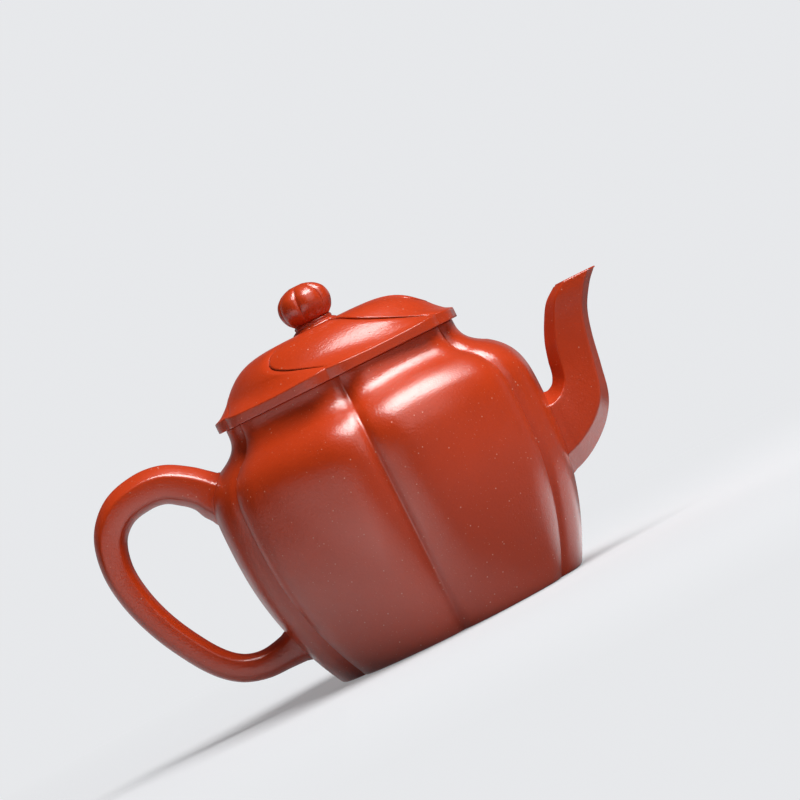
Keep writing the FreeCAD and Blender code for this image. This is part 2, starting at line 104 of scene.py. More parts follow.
# Spout, root to mouth: X, Z, tilt, depth, width, then the flat side's shares downwards and upwards
SPOUT = [
    (36.75, 31.33, 90, 20.6, 15.2, 0.53, 0.68),
    (43.90, 32.00, 90, 20.3, 15.0, 0.53, 0.68),
    (49.46, 35.16, 68, 17.3, 12.9, 0.58, 0.64),
    (52.63, 39.53, 48, 15.4, 11.5, 0.66, 0.58),
    (54.02, 45.65, 32, 13.55, 10.2, 0.71, 0.55),
    (55.41, 51.98, 18, 12.2, 9.25, 0.73, 0.54),
    (57.40, 57.47, 8, 11.55, 8.8, 0.72, 0.56),
    (60.38, 62.24, 2, 12.0, 9.1, 0.68, 0.6),
    (63.75, 65.30, 0, 11.3, 8.6, 0.64, 0.62),
]
SPOUT_WALL = 2
SPOUT_HOLE_RADIUS = 4.8
SPOUT_HOLE_PLACE = (42, 0, 32)
SPOUT_HOLE_LENGTH = 16
BORE_END = 41.5
RUN_STEPS = 8

# Handle, upper to lower root: X, Z, tilt, depth, width, then the flat side's shares outwards and inwards
HANDLE = [
    (-35.92, 50.09, -41, 12.85, 12.88, 0.5, 0.6),
    (-41.42, 56.01, -42, 12.3, 12.24, 0.5, 0.6),
    (-43.66, 58.85, -46, 10.9, 11.4, 0.49, 0.62),
    (-46.38, 61.25, -50, 10.7, 10.8, 0.47, 0.64),
    (-51.52, 64.36, -72, 10.5, 10.22, 0.42, 0.68),
    (-57.38, 65.05, -90, 10.4, 10.0, 0.4, 0.68),
    (-64.37, 63.24, -118, 9.9, 9.39, 0.46, 0.64),
    (-69.26, 58.25, -148, 9.2, 8.66, 0.56, 0.56),
    (-71.17, 50.62, -176, 8.5, 8.11, 0.66, 0.5),
    (-70.47, 42.50, -192, 8.2, 7.82, 0.68, 0.48),
    (-67.76, 33.63, -202, 7.9, 7.54, 0.68, 0.48),
    (-63.61, 25.28, -210, 7.8, 7.34, 0.66, 0.5),
    (-58.91, 18.30, -219, 7.8, 7.25, 0.62, 0.52),
    (-54.24, 14.35, -238, 7.8, 7.1, 0.6, 0.55),
    (-48.85, 12.72, -262, 7.9, 7.1, 0.6, 0.55),
    (-43.08, 13.00, -270, 8.8, 7.6, 0.6, 0.55),
    (-35.10, 14.20, -270, 12.0, 8.6, 0.6, 0.55),
]
HANDLE_RIDGE_ROUND = 3.2
HANDLE_EDGE_ROUND = 1.5
HANDLE_BULGE = 0.12


def eased(start, end, share):
    return tuple(low + (high - low) * share for low, high in zip(start, end))


def pot_form(z):
    """Lobe radius, crease radius and fold of the pot's outside at a height."""
    if z <= BELLY_Z:
        face, draw, fold = eased(BELLY_FORM, FOOT_FORM, (1 - z / BELLY_Z) ** 2.2)
    elif z <= TURN_Z:
        face, draw, fold = eased(BELLY_FORM, TURN_FORM, ((z - BELLY_Z) / (TURN_Z - BELLY_Z)) ** 4)
    else:
        face, draw, fold = eased(NECK_FORM, TURN_FORM, ((NECK_Z - z) / (NECK_Z - TURN_Z)) ** 3)
    return face, face / math.cos(HALF_LOBE) - draw, math.radians(fold)


def lobe_point(form, share, rounding=CREASE_ROUND, pinch=PINCH):
    """Point on a lobe's outline, out and across: share runs from -1 at one crease to 1 at the other.

    A flatter middle arc runs into a tighter one that folds into the crease.
    The crease is pinched in and its bottom is rounded.
    """
    face, crease, fold = form
    half = crease * math.sin(HALF_LOBE)
    slope = (face - crease * math.cos(HALF_LOBE)) / half
    lean = math.tan(fold / 2)
    linear = 1 + slope * lean
    square = FACE_SHARE * lean
    rest = slope - (1 - FACE_SHARE) * lean
    turn = (linear - math.sqrt(linear ** 2 - 4 * square * rest)) / (2 * square)
    mid = 2 * math.atan(turn)
    join = FACE_SHARE * half
    face_arc = join / math.sin(mid)
    end_arc = (half - join) / (math.sin(fold) - math.sin(mid))
    face_run = face_arc * mid
    whole_run = face_run + end_arc * (fold - mid) - rounding / math.cos(fold - HALF_LOBE)
    run = abs(share) * whole_run
    if run < face_run:
        angle = run / face_arc
        across = face_arc * math.sin(angle)
        out = face - face_arc * (1 - math.cos(angle))
    else:
        angle = mid + (run - face_run) / end_arc
        across = join + end_arc * (math.sin(angle) - math.sin(mid))
        out = face - join * turn - end_arc * (math.cos(mid) - math.cos(angle))
    along = out * math.cos(HALF_LOBE) + across * math.sin(HALF_LOBE)
    beside = out * math.sin(HALF_LOBE) - across * math.cos(HALF_LOBE)
    along -= pinch * max(0, 1 - beside / PINCH_WIDTH) ** 2
    beside = math.sqrt(max(beside ** 2 - rounding ** 2, 0)) if abs(share) < 1 else 0
    out = along * math.cos(HALF_LOBE) + beside * math.sin(HALF_LOBE)
    across = along * math.sin(HALF_LOBE) - beside * math.cos(HALF_LOBE)
    return out, math.copysign(across, share)


def towards_creases(share):
    """Packs a lobe's columns more closely towards its creases."""
    return math.copysign(1 - (1 - abs(share)) ** 1.8, share)


def turned(out, across, angle, z):
    """Point at a place out from the axis and across, turned about it."""
    cos, sin = math.cos(angle), math.sin(angle)
    return Vector((out * cos - across * sin, out * sin + across * cos, z))


def hand_shaped(point):
    """The slight unevenness of a hand-worked surface, always inwards."""
    wave = 0.7 * noise.noise(point * 0.055) + 0.3 * noise.noise(point * 0.16)
    depth = HAND_WAVE * (0.5 + 0.5 * wave)
    radius = math.hypot(point.x, point.y)
    if radius < depth:
        return point
    keep = 1 - depth / radius
    return Vector((point.x * keep, point.y * keep, point.z))


def pot_point(lobe, share, z, inset=0, rounding=CREASE_ROUND):
    face, crease, fold = pot_form(z)
    out, across = lobe_point((face - inset, crease - inset, fold), share, rounding)
    return hand_shaped(turned(out, across, lobe * LOBE_TURN, z))


def reach(form, angle):
    """Distance from the axis to a lobed outline in one direction."""
    beside = abs((angle + HALF_LOBE) % LOBE_TURN - HALF_LOBE)
    low, high = 0, 1
    for _ in range(24):
        share = (low + high) / 2
        out, across = lobe_point(form, share)
        low, high = (share, high) if math.atan2(across, out) < beside else (low, share)
    return math.hypot(*lobe_point(form, low))


def around(turn):
    """Lobe and share across it for a share of a full turn, starting in a crease."""
    lobe = min(int(turn * LOBES), LOBES - 1)
    return lobe, towards_creases((turn * LOBES - lobe) * 2 - 1)


def skin(columns, rows, place):
    """A grid of vertices, each moved to its place by its shares across and up, with its seams merged."""
    bm = bmesh.new()
    bmesh.ops.create_grid(bm, x_segments=columns, y_segments=rows, size=1)
    for vertex in bm.verts:
        vertex.co = place((vertex.co.x + 1) / 2, (vertex.co.y + 1) / 2) * MM
    bmesh.ops.remove_doubles(bm, verts=bm.verts[:], dist=0.002 * MM)
    return bm


def levels(points):
    """Reads a list of profile points by a share of the way along it."""
    def at(up):
        return points[min(round(up * (len(points) - 1)), len(points) - 1)]
    return at


def piece(name, bm, body, nodes, materials, sharp=38):
    """A finished piece that rides on its body and stands for its nodes."""
    bmesh.ops.recalc_face_normals(bm, faces=bm.faces[:])
    mesh = bpy.data.meshes.new(name)
    bm.to_mesh(mesh)
    bm.free()
    mesh.shade_smooth()
    mesh.set_sharp_from_angle(angle=math.radians(sharp))
    for material in materials:
        mesh.materials.append(material)
    thing = bpy.data.objects.new(name, mesh)
    bpy.context.scene.collection.objects.link(thing)
    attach(thing, body)
    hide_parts(*nodes)
    return thing


# Clay: scales are in dots per metre, and grains are a scale, the share of cells left plain and a dot's size

DRIFT_SCALE = 38
SHEEN_SCALE = 420
SAND_SCALE = 1500
GRAIN_SCALE = 2600
DUST = (1150, 0.45, 0.15)
SPECKS = (540, 0.5, 0.12)
SHADED_PINHOLES = (420, 0.8, 0.06)
GRAIN_HEIGHT = 0.6
SPECK_HEIGHT = 0.6
SAND_DEPTH = 0.06


def node(tree, kind, **settings):
    made = tree.nodes.new(kind)
    for key, setting in settings.items():
        if key in made.inputs:
            made.inputs[key].default_value = setting
        else:
            setattr(made, key, setting)
    return made


def maths(tree, operation, *values):
    """A maths node fed by sockets and plain numbers."""
    made = node(tree, "ShaderNodeMath", operation=operation)
    for socket, value in zip(made.inputs, values):
        if isinstance(value, (int, float)):
            socket.default_value = value
        else:
            tree.links.new(value, socket)
    return made.outputs["Value"]


def ranged(tree, value, low, high, new_low, new_high):
    made = node(tree, "ShaderNodeMapRange")
    for key, setting in zip(("From Min", "From Max", "To Min", "To Max"), (low, high, new_low, new_high)):
        made.inputs[key].default_value = setting
    tree.links.new(value, made.inputs["Value"])
    return made.outputs["Result"]


def cloud(tree, coordinates, scale, detail, roughness=0.55):
    """Soft noise of one scale."""
    made = node(tree, "ShaderNodeTexNoise", Scale=scale, Detail=detail, Roughness=roughness)
    tree.links.new(coordinates, made.inputs["Vector"])
    return made.outputs["Fac"]


def speckle(tree, coordinates, scale, plain, size):
    """Sparse grains: one in a few cells, each a small soft dot."""
    cells = node(tree, "ShaderNodeTexVoronoi", Scale=scale, Randomness=1.0)
    tree.links.new(coordinates, cells.inputs["Vector"])
    dot = ranged(tree, cells.outputs["Distance"], size, size * 0.45, 0, 1)
    split = node(tree, "ShaderNodeSeparateColor")
    tree.links.new(cells.outputs["Color"], split.inputs["Color"])
    chosen = maths(tree, "GREATER_THAN", split.outputs["Red"], plain)
    return maths(tree, "MULTIPLY", dot, chosen)


def tinted(tree, factor, first, second):
    made = node(tree, "ShaderNodeMix", data_type="RGBA")
    tree.links.new(factor, made.inputs["Factor"])
    for socket, colour in ((made.inputs[6], first), (made.inputs[7], second)):
        if isinstance(colour, tuple):
            socket.default_value = (*colour, 1)
        else:
            tree.links.new(colour, socket)
    return made.outputs[2]


def darker(colour, share):
    return tuple(share * channel for channel in colour)


def clay(name, light, deep, speck, gloss, polish):
    """Fired clay: a drifting red with fine grain, sparse pale specks and pinhole dents darkened as painted
    shade, rubbed to a sheen.
    """
    material = bpy.data.materials.new(name)
    material.use_nodes = True
    tree = material.node_tree
    shader = tree.nodes["Principled BSDF"]
    place = node(tree, "ShaderNodeTexCoord").outputs["Object"]
    grain = cloud(tree, place, GRAIN_SCALE, 2.0, 0.6)
    sand = cloud(tree, place, SAND_SCALE, 2.0, 0.6)
    dust = speckle(tree, place, *DUST)
    specks = speckle(tree, place, *SPECKS)
    shaded_pinholes = speckle(tree, place, *SHADED_PINHOLES)

    drift = ranged(tree, cloud(tree, place, DRIFT_SCALE, 4.0), 0.3, 0.7, 0.0, 1.0)
    tone = tinted(tree, drift, light, deep)
    tone = tinted(tree, ranged(tree, grain, 0.35, 0.75, 0.0, 0.22), tone, darker(deep, 0.62))
    tone = tinted(tree, ranged(tree, dust, 0, 1, 0, 0.3), tone, speck)
    tone = tinted(tree, ranged(tree, specks, 0, 1, 0, 0.65), tone, speck)
    # Painted shade: the pinhole dents are coloured darker, standing for the shade in them
    tone = tinted(tree, ranged(tree, shaded_pinholes, 0, 1, 0, 0.4), tone, darker(deep, 0.5))
    tree.links.new(tone, shader.inputs["Base Color"])

    rough = ranged(tree, cloud(tree, place, SHEEN_SCALE, 5.0, 0.65), 0.3, 0.7, *gloss)
    tree.links.new(rough, shader.inputs["Roughness"])
    shader.inputs["Specular IOR Level"].default_value = 0.12
    shader.inputs["Coat Weight"].default_value = polish
    shader.inputs["Coat Roughness"].default_value = 0.22
    shader.inputs["Coat IOR"].default_value = 1.6

    height = maths(tree, "MULTIPLY_ADD", grain, GRAIN_HEIGHT, sand)
    height = maths(tree, "MULTIPLY_ADD", specks, SPECK_HEIGHT, height)
    height = maths(tree, "SUBTRACT", height, shaded_pinholes)
    bump = node(tree, "ShaderNodeBump", Strength=1.0, Distance=SAND_DEPTH * MM)
    tree.links.new(height, bump.inputs["Height"])
    tree.links.new(bump.outputs["Normal"], shader.inputs["Normal"])
    tree.links.new(bump.outputs["Normal"], shader.inputs["Coat Normal"])
    return material


RED = (0.48, 0.038, 0.0045)
DEEP_RED = (0.42, 0.033, 0.0039)
PALE_SPECK = (0.66, 0.3, 0.2)
BURNISHED = clay("burnished_clay", RED, DEEP_RED, PALE_SPECK, (0.36, 0.46), 0.9)
RUBBED = clay("rubbed_clay", RED, DEEP_RED, PALE_SPECK, (0.38, 0.48), 0.6)
RAW = clay("raw_clay", (0.5, 0.085, 0.028), (0.42, 0.062, 0.02), (0.7, 0.4, 0.24), (0.62, 0.8), 0.0)
CLAYS = [BURNISHED, RAW]
LID_CLAYS = [RUBBED, RAW]


# Pot


def wall_rows(up):
    """Height on the wall for a share of its rows, packed at both seams and over the shoulder."""
    marks = [(0, BASE_TOP), (0.04, 3.3), (0.34, 36), (0.56, 52), (0.8, 61.5), (0.96, 65.9), (1, WALL_TOP)]
    for (start, low), (end, high) in zip(marks, marks[1:]):
        if up <= end:
            return low + (high - low) * (up - start) / (end - start)
    return WALL_TOP


def wall_lobe(number):
    """One wall slab: a lobe's outside, and its inside one wall thickness in."""
    bm = bmesh.new()
    bmesh.ops.create_grid(bm, x_segments=72, y_segments=110, size=1)
    grown = bmesh.ops.extrude_face_region(bm, geom=bm.faces[:], use_keep_orig=True)["geom"]
    inside = {item for item in grown if isinstance(item, bmesh.types.BMVert)}
    for face in bm.faces:
        face.material_index = 1 if all(vertex in inside for vertex in face.verts) else 0
    for vertex in bm.verts:
        share = towards_creases(vertex.co.x)
        z = wall_rows((vertex.co.y + 1) / 2)
        inset = WALL if vertex in inside else 0
        vertex.co = pot_point(number - 1, share, z, inset) * MM
    return bm


def pierced(thing, cutter_bm):
    """Cuts a hole through a piece."""
    mesh = bpy.data.meshes.new("cutter")
    cutter_bm.to_mesh(mesh)
    cutter_bm.free()
    cutter = bpy.data.objects.new("cutter", mesh)
    bpy.context.scene.collection.objects.link(cutter)
    cut = thing.modifiers.new("hole", "BOOLEAN")
    cut.object = cutter
    cut.operation = "DIFFERENCE"
    cut.solver = "EXACT"
    bpy.context.view_layer.update()
    shaped = thing.evaluated_get(bpy.context.evaluated_depsgraph_get())
    result = bpy.data.meshes.new_from_object(shaped)
    thing.modifiers.clear()
    thing.data = result
    bpy.data.objects.remove(cutter)


def make_walls():
    """Six wall slabs, the first one pierced behind the spout."""
    for number in range(1, LOBES + 1):
        made = piece(f"wall_lobe_{number}", wall_lobe(number), "pot", [f"wall_panel_{number}"], CLAYS)
        if number == 1:
            drill = bmesh.new()
            bmesh.ops.create_cone(
                drill, cap_ends=True, segments=48, radius1=SPOUT_HOLE_RADIUS * MM,
                radius2=SPOUT_HOLE_RADIUS * MM, depth=SPOUT_HOLE_LENGTH * MM,
            )
            across = Matrix.Rotation(math.radians(90), 3, "Y")
            bmesh.ops.rotate(drill, verts=drill.verts, matrix=across)
            bmesh.ops.translate(drill, verts=drill.verts, vec=Vector(SPOUT_HOLE_PLACE) * MM)
            pierced(made, drill)


def make_base():
    """Base slab: flat foot with a softened edge, and the floor of the chamber."""
    profile = [(0, None), (0, -30), (0, -12), (0, -3), (0, -1.4), (0, -FOOT_ROUND)]
    for step in range(1, 9):
        angle = math.radians(90 * step / 8)
        profile.append((FOOT_ROUND * (1 - math.cos(angle)), -FOOT_ROUND * (1 - math.sin(angle))))
    profile += [(1.2, 0), (1.8, 0), (2.4, 0), (2.75, 0), (BASE_TOP, 0), (BASE_TOP, -2), (BASE_TOP, None)]
    at = levels(profile)

    def place(turn, up):
        z, out = at(up)
        if out is None:
            return Vector((0, 0, z))
        lobe, share = around(turn)
        return pot_point(lobe, share, z, -out)

    bm = skin(LOBES * 40, len(profile) - 1, place)
    for face in bm.faces:
        centre = face.calc_center_median()
        if centre.z > (BASE_TOP - 0.01) * MM or centre.z < 0.0001 * MM:
            face.material_index = 1
    piece("base", bm, "pot", ["base_plate"], CLAYS)


def make_mouth():
    """Top of the neck, with the round mouth that the lid's flange drops into."""
    profile = [("bore", 0, z) for z in (WALL_TOP, 66.8, 68.6, 69.05)] + [("bore", 0.3, SEAT_Z)]
    profile += [("edge", 0.3, SEAT_Z), ("edge", 0.1, 69.15), ("edge", 0.02, 69.05), ("edge", 0, 68.9)]
    profile += [("edge", 0, z) for z in (68.2, 67.6, 67, 66.6, 66.3, WALL_TOP)]
    profile += [("edge", 1.5, WALL_TOP), ("bore", 0, WALL_TOP)]
    at = levels(profile)

    def place(turn, up):
        kind, inset, z = at(up)
        lobe, share = around(turn)
        if kind == "edge":
            point = pot_point(lobe, share, min(z, NECK_Z), inset)
            return Vector((point.x, point.y, z))
        out, across = lobe_point(pot_form(WALL_TOP), share)
        return turned(MOUTH_RADIUS + inset, 0, lobe * LOBE_TURN + math.atan2(across, out), z)

    piece("mouth", skin(LOBES * 40, len(profile) - 1, place), "pot", ["mouth_ring"], CLAYS)


def smooth_run(stations, steps=RUN_STEPS):
    """Stations of a run with smooth in-between ones, a few to each span."""
    knots = [0]
    for start, end in zip(stations, stations[1:]):
        knots.append(knots[-1] + math.dist(start[:2], end[:2]))
    slopes = []
    for index in range(len(stations)):
        before, after = max(index - 1, 0), min(index + 1, len(stations) - 1)
        span = knots[after] - knots[before]
        slopes.append([(b - a) / span for a, b in zip(stations[before], stations[after])])
    run = []
    for index in range(len(stations) - 1):
        span = knots[index + 1] - knots[index]
        for step in range(steps):
            t = step / steps
            run.append([
                (2 * t ** 3 - 3 * t ** 2 + 1) * a + (t ** 3 - 2 * t ** 2 + t) * span * sa
                + (3 * t ** 2 - 2 * t ** 3) * b + (t ** 3 - t ** 2) * span * sb
                for a, b, sa, sb in zip(
                    stations[index], stations[index + 1], slopes[index], slopes[index + 1]
                )
            ])
    return run + [list(stations[-1])]


FLAT_STEPS = (0, 0.06, 0.5, 0.94)
ROUND_STEPS = 6


def six_sided(depth, width, outer, inner, ridge_round, edge_round, bulge=0.0):
    """Outline of a six-sided section with rounded corners, as points along its depth and width."""
    half, side = depth / 2, width / 2
    corners = [
        (half, 0, ridge_round), (half * outer, side, edge_round), (-half * inner, side, edge_round),
        (-half, 0, ridge_round), (-half * inner, -side, edge_round), (half * outer, -side, edge_round),
    ]
    arcs = []
    for index, (x, y, radius) in enumerate(corners):
        here = Vector((x, y))
        before = Vector(corners[index - 1][:2]) - here
        after = Vector(corners[(index + 1) % 6][:2]) - here
        cut = radius / math.tan(before.angle(after) / 2)
        start = here + before.normalized() * min(cut, before.length * 0.46)
        end = here + after.normalized() * min(cut, after.length * 0.46)
        arcs.append((start, here, end))
    outline = []
    for index, (start, here, end) in enumerate(arcs):
        for step in range(ROUND_STEPS):
            t = step / ROUND_STEPS
            outline.append(start * (1 - t) ** 2 + here * 2 * t * (1 - t) + end * t ** 2)
        next_start = arcs[(index + 1) % 6][0]
        along = next_start - end
        outwards = Vector((along.y, -along.x)).normalized()
        for t in FLAT_STEPS:
            outline.append(end + along * t + outwards * bulge * 4 * t * (1 - t))
    return outline


def section_point(station, point):
    x, z, tilt = station[0], station[1], math.radians(station[2])
    return Vector((x + point.x * math.cos(tilt), point.y, z - point.x * math.sin(tilt)))


def luted(point, centre, depth=1.2, fillet=1.4, swell=0.45):
    """Ends a limb inside the wall, with the joint's slip smoothed into a small fillet."""
    angle = math.atan2(point.y, point.x)
    if not 0 < point.z < NECK_Z:
        return point
    radius = math.hypot(point.x, point.y)
    gap = radius - reach(pot_form(point.z), angle)
    if gap < -depth:
        return turned(radius - gap - depth, 0, angle, point.z)
    if gap < fillet:
        away = point - centre
        return point + away.normalized() * swell * (1 - max(gap, 0) / fillet) ** 2
    return point


def make_spout():
    """Six-sided tube: outside from the root to the cut mouth, over the lip and back down the bore."""
    outside = smooth_run(SPOUT)
    bore = outside[::-2]
    lip = [(0, -0.3), (0.12, -0.09), (0.32, 0), (1.1, 0), (1.6, -0.05), (1.9, -0.3)]
    rings = [(station, 0, 0) for station in outside[:-1]]
    rings += [(outside[-1], inset, drop) for inset, drop in lip]
    rings += [(station, SPOUT_WALL, 0) for station in bore[1:]]
    rings.append(rings[0])
    outlines = []
    for station, inset, drop in rings:
        depth, width, outer, inner = station[3:]
        soft = 0.45 if inset == 0 else 0.3
        outlines.append(six_sided(depth - 2 * inset, width - 2 * inset, outer, inner, soft, soft + 0.15))
    count = len(outlines[0])

    def place(turn, up):
        ring = round(up * (len(rings) - 1))
        station, inset, drop = rings[ring]
        point = section_point(station, outlines[ring][round(turn * count) % count])
        point.z += drop
        if ring < len(outside) or ring == len(rings) - 1:
            return luted(point, section_point(station, Vector((0, 0))))
        point.x = max(point.x, BORE_END)
        return point

    bm = skin(count, len(rings) - 1, place)
    piece("spout_tube", bm, "pot", ["spout"], CLAYS, sharp=50)


def make_handle():
    """Ear-shaped loop of soft six-sided section, its ends inside the wall."""
    run = smooth_run(HANDLE)
    outlines = [
        six_sided(*station[3:], HANDLE_RIDGE_ROUND, HANDLE_EDGE_ROUND, HANDLE_BULGE) for station in run
    ]
    count = len(outlines[0])

    def place(turn, up):
        ring = round(up * (len(run) - 1))
        point = section_point(run[ring], outlines[ring][round(turn * count) % count])
        return luted(point, section_point(run[ring], Vector((0, 0))))

    bm = skin(count, len(run) - 1, place)
    ends = [edge for edge in bm.edges if edge.is_boundary]
    bmesh.ops.holes_fill(bm, edges=ends)
    piece("handle_loop", bm, "pot", ["handle"], CLAYS, sharp=50)


# Lid


def rim_form(inset):
    """Outline of the rim, drawn in by an inset."""
    crease = RIM_FACE / math.cos(HALF_LOBE) - RIM_DRAW
    return RIM_FACE - inset, crease - inset, math.radians(RIM_FOLD)


def band_top(share):
    """Height of the rim band's top edge, a little higher at the creases."""
    return BAND_TOP + BAND_LIFT * share ** 2


def make_rim():
    """Hexafoil band with softened edges; its top is under the petals' feet."""
    foot = SEAT_Z + 0.01
    profile = [("bore", foot, 0), (3, foot, 0), (0.7, foot, 0), (RIM_ROUND, foot, 0)]
    for step in range(1, 6):
        angle = math.radians(90 * step / 5)
        profile.append((RIM_ROUND * (1 - math.sin(angle)), foot + RIM_ROUND * (1 - math.cos(angle)), 0))
    profile += [(0, foot + 0.4, 0), (0, foot + 0.8, 0.2), (0, foot + 1.3, 0.5), (0, BAND_TOP - 0.5, 0.8)]
    for step in range(6):
        angle = math.radians(90 * step / 5)
        drop = RIM_ROUND * (1 - math.sin(angle))
        profile.append((RIM_ROUND * (1 - math.cos(angle)), BAND_TOP - drop, 1))
    profile += [(1.2, BAND_TOP + 0.1, 1), (3.4, RIM_TOP - 0.25, 0), ("bore", RIM_TOP, 0), ("bore", foot, 0)]
    at = levels(profile)

    def place(turn, up):
        inset, z, lifted = at(up)
        lobe, share = around(turn)
        if inset == "bore":
            angle = (lobe + share / 2) * LOBE_TURN - LID_TURN
            return turned(FLANGE_BORE, 0, angle, z)
        out, across = lobe_point(rim_form(inset), share, 0.15, 0.15)
        z += lifted * (band_top(share) - BAND_TOP)
        return hand_shaped(turned(out, across, lobe * LOBE_TURN - LID_TURN, z))

    piece("lid_band", skin(LOBES * 40, len(profile) - 1, place), "lid", ["lid_rim"], CLAYS)


def dome_height(radius):
    return RIM_TOP + DOME_RISE * (1 - (radius / DOME_FACE) ** DOME_POWER)


def corner_shape(share):
    """How far a straight-sided foot stands beyond a round one: 0 in a petal's middle, 1 at its corner."""
    return (1 / math.cos(share * HALF_LOBE) - 1) / (1 / math.cos(HALF_LOBE) - 1)


def bent(distance, width):
    """Fall of a rounded edge, as a share of its round: 0 a width away from the edge."""
    bend = EDGE_BEND * max(0, 1 - distance / width)
    return 1 - math.sqrt(1 - bend * bend)


def petal_dip(share, radius):
    """How far a petal dips at its edges: steeply at its left, gently at its right, a slit between two."""
    half_width = radius * HALF_LOBE
    from_left = (1 + share) * half_width
    from_right = (1 - share) * half_width
    dip = 0
    for distance, (width, depth) in ((from_left, PETAL_LEFT), (from_right, PETAL_RIGHT)):
        dip += depth * bent(distance, min(width, half_width)) / bent(0, 1)
    slit = max(0, 1 - min(from_left, from_right) / SLIT_WIDTH)
    return dip + SLIT_DEPTH * slit


def whirl(lobe, share, height):
    """Turn of a petal at a share of the dome's height; each hand-cut crease leans a little differently."""
    left, right = CREASE_LEANS[lobe], CREASE_LEANS[(lobe + 1) % LOBES]
    lean = math.radians(left + (right - left) * (1 + share) / 2)
    return WHIRL * math.sin(math.radians(90) * height ** 1.1) + lean * math.sin(math.pi * height) ** 2


def dome_side(share, radius):
    """Radius and height on the dome above its foot, with its corner and the dip of its creases."""
    z = dome_height(radius)
    height = min((z - RIM_TOP) / DOME_RISE, 1)
    slope = math.atan(DOME_RISE * DOME_POWER * (radius / DOME_FACE) ** (DOME_POWER - 1) / DOME_FACE)
    dip = petal_dip(share, radius) * min(1, radius / 9)
    corner = CORNER_REACH * (1 - height) ** 4 * corner_shape(share)
    return radius + corner - dip * math.sin(slope), z - dip * math.cos(slope)


def petal_foot(share, up):
    """Radius and height on the hollow curve from the rim's edge up to the dome's side."""
    edge = reach(rim_form(0.18), share * HALF_LOBE), band_top(share) - 0.01
    corner = CORNER_REACH * corner_shape(share)
    foot_radius = DOME_FACE - 0.5 + 0.4 * corner - 0.2 * petal_dip(share, DOME_FACE)
    foot = foot_radius, RIM_TOP + 1.2 - 0.6 * share ** 2
    join_radius = DOME_FACE * (1 - (FOOT_JOIN - RIM_TOP) / DOME_RISE) ** (1 / DOME_POWER)
    side = dome_side(share, join_radius)
    return tuple(
        (1 - up) ** 2 * a + 2 * up * (1 - up) * b + up ** 2 * c for a, b, c in zip(edge, foot, side)
    )


def make_dome():
    """Six whirled petals, each lapping over the next, hollow below and pierced by the vent."""
    profile = [("under", 0.5, 0)]
    profile += [("foot", step / 18, 0) for step in range(18)]
    start = (FOOT_JOIN - RIM_TOP) / DOME_RISE
    for step in range(33):
        height = start + (0.985 - start) * math.sin(math.radians(90) * step / 32)
        profile.append(("side", DOME_FACE * (1 - height) ** (1 / DOME_POWER), 0))
    radius = profile[-1][1]
    while radius > 4.2:
        radius -= 0.9
        profile.append(("side", radius, 0))
    profile += [("bore", VENT_RADIUS, COLLAR_FOOT), ("bore", VENT_RADIUS, ROOF_Z), ("bore", 9, ROOF_Z)]
    profile += [("bore", ROOF_RADIUS - 0.5, ROOF_Z), ("bore", ROOF_RADIUS + 0.2, ROOF_Z - 0.4)]
    profile += [("bore", FLANGE_BORE, RIM_TOP), ("bore", 27, RIM_TOP), ("under", 0.5, 0)]
    at = levels(profile)

    def place(turn, up):
        kind, first, z = at(up)
        lobe, share = around(turn)
        angle = (lobe + share / 2) * LOBE_TURN - LID_TURN
        if kind == "bore":
            return turned(first, 0, angle, z)
        if kind == "under":
            return turned(reach(rim_form(0.4), share * HALF_LOBE), 0, angle, band_top(share) - 0.12)
        radius, z = petal_foot(share, first) if kind == "foot" else dome_side(share, first)
        height = min(max((z - RIM_TOP) / DOME_RISE, 0), 1)
        return turned(radius, 0, angle - whirl(lobe, share, height), z)

    bm = skin(LOBES * 56, len(profile) - 1, place)
    for face in bm.faces:
        centre = face.calc_center_median()
        if face.normal.z < -0.1 or math.hypot(centre.x, centre.y) < (VENT_RADIUS + 0.1) * MM:
            face.material_index = 1
    piece("lid_petals", bm, "lid", ["lid_dome"], LID_CLAYS, sharp=60)


def make_flange():
    """Round locating ring under the lid."""
    low, high = FLANGE_FOOT, LID_FOOT
    profile = [(FLANGE_BORE, high), (FLANGE_BORE, low + 0.9), (FLANGE_BORE + 0.12, low + 0.35)]
    profile += [(FLANGE_BORE + 0.45, low + 0.05), (FLANGE_BORE + 0.8, low), (FLANGE_RADIUS - 0.8, low)]
    profile += [(FLANGE_RADIUS - 0.4, low + 0.06), (FLANGE_RADIUS - 0.1, low + 0.4), (FLANGE_RADIUS, low + 1)]
    profile += [(FLANGE_RADIUS, high), (FLANGE_BORE, high)]
    at = levels(profile)

    def place(turn, up):
        radius, z = at(up)
        return turned(radius, 0, turn * math.tau, z)

    piece("lid_ring", skin(144, len(profile) - 1, place), "lid", ["lid_flange"], CLAYS)


def lobed(radius, z, turn, depth, width, twist):
    """Point on a small lobed form with pinched creases."""
    lobe, share = around(turn)
    angle = (lobe + share / 2) * LOBE_TURN - twist
    half_width = radius * HALF_LOBE
    dip = depth * bent((1 - abs(share)) * half_width, min(width, half_width))
    return turned(radius - dip, 0, angle, z)


def make_collar():
    """Small flared collar in two tiers."""
    profile = [(VENT_RADIUS, COLLAR_FOOT), (5.5, COLLAR_FOOT), (5.9, 82.66), (6.0, 82.78), (5.92, 82.92)]
    profile += [(5.6, 83.12), (5.25, 83.32), (5.06, 83.42), (5.0, 83.5), (5.04, 83.6), (5.1, 83.8)]
    profile += [(5.02, 84.1), (4.85, 84.32), (4.6, COLLAR_TOP)]
    profile += [(VENT_RADIUS, COLLAR_TOP), (VENT_RADIUS, COLLAR_FOOT)]
    at = levels(profile)

    def place(turn, up):
        radius, z = at(up)
        return lobed(radius, z, turn, 0.3 if radius > 2 else 0, 1.2, KNOB_TURN)

    piece("knob_foot", skin(LOBES * 24, len(profile) - 1, place), "lid", ["knob_collar"], CLAYS, sharp=60)


